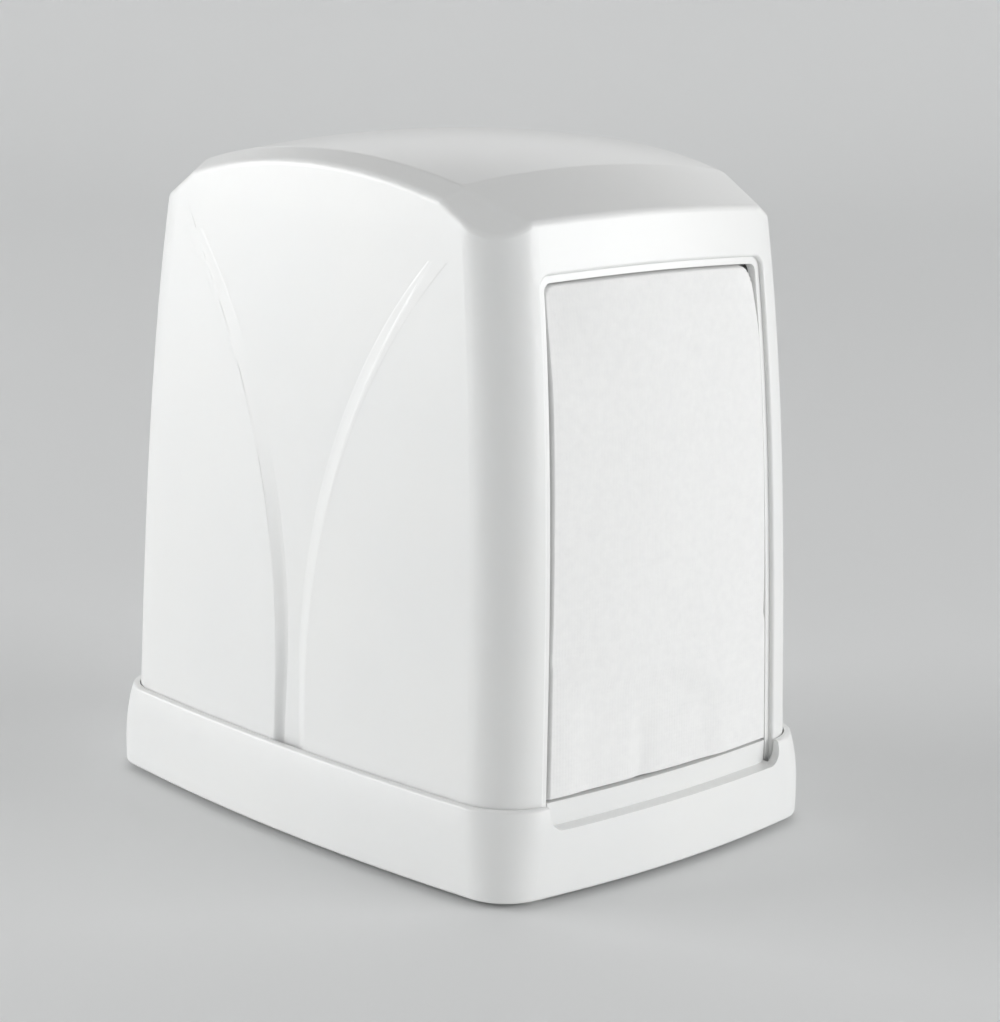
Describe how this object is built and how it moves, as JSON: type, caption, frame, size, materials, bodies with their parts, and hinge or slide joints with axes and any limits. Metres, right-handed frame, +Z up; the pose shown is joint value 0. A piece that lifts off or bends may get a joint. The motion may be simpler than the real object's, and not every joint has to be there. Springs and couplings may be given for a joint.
{
  "type": "tabletop napkin dispenser",
  "caption": "Tabletop napkin dispenser: a lift-off cover with a window in each narrow face over a base, and sprung pusher plates that press folded napkins to the windows.",
  "frame": {"origin": "on the table, under the middle of the base", "axes": "+Z up; X across the narrow window faces; Y along the long sides, with the pictured window facing -Y"},
  "size_m": [0.1074, 0.1452, 0.1562],
  "materials": {
    "white_plastic": "satin moulded ABS",
    "inner_plastic": "plain moulded polypropylene",
    "foot_rubber": "soft pale rubber",
    "screw_steel": "zinc plated",
    "spring_steel": "bright drawn wire",
    "napkin_paper": "embossed white tissue"
  },
  "bodies": {
    "base": {"base": "white_plastic", "foot_front_left": "foot_rubber", "foot_front_right": "foot_rubber", "foot_rear_left": "foot_rubber", "foot_rear_right": "foot_rubber", "spring_tower": "inner_plastic", "tower_screws": "screw_steel", "front_napkin_stack": "napkin_paper", "rear_napkin_stack": "napkin_paper", "front_outer_napkin": "napkin_paper", "rear_outer_napkin": "napkin_paper", "front_lower_spring": "spring_steel", "front_upper_spring": "spring_steel", "rear_lower_spring": "spring_steel", "rear_upper_spring": "spring_steel"},
    "cover": {"cover": "white_plastic"},
    "front_pusher": {"front_pusher": "inner_plastic"},
    "rear_pusher": {"rear_pusher": "inner_plastic"}
  },
  "joints": [
    {"name": "cover_lift", "type": "slide", "parent": "base", "child": "cover", "axis": [0, 0, 1], "range_m": [0, 0.15]},
    {"name": "front_pusher_slide", "type": "slide", "parent": "base", "child": "front_pusher", "axis": [0, -1, 0], "range_m": [0, 0.034], "deforming": ["front_lower_spring", "front_upper_spring", "front_napkin_stack"]},
    {"name": "rear_pusher_slide", "type": "slide", "parent": "base", "child": "rear_pusher", "axis": [0, 1, 0], "range_m": [0, 0.034], "deforming": ["rear_lower_spring", "rear_upper_spring", "rear_napkin_stack"]}
  ]
}
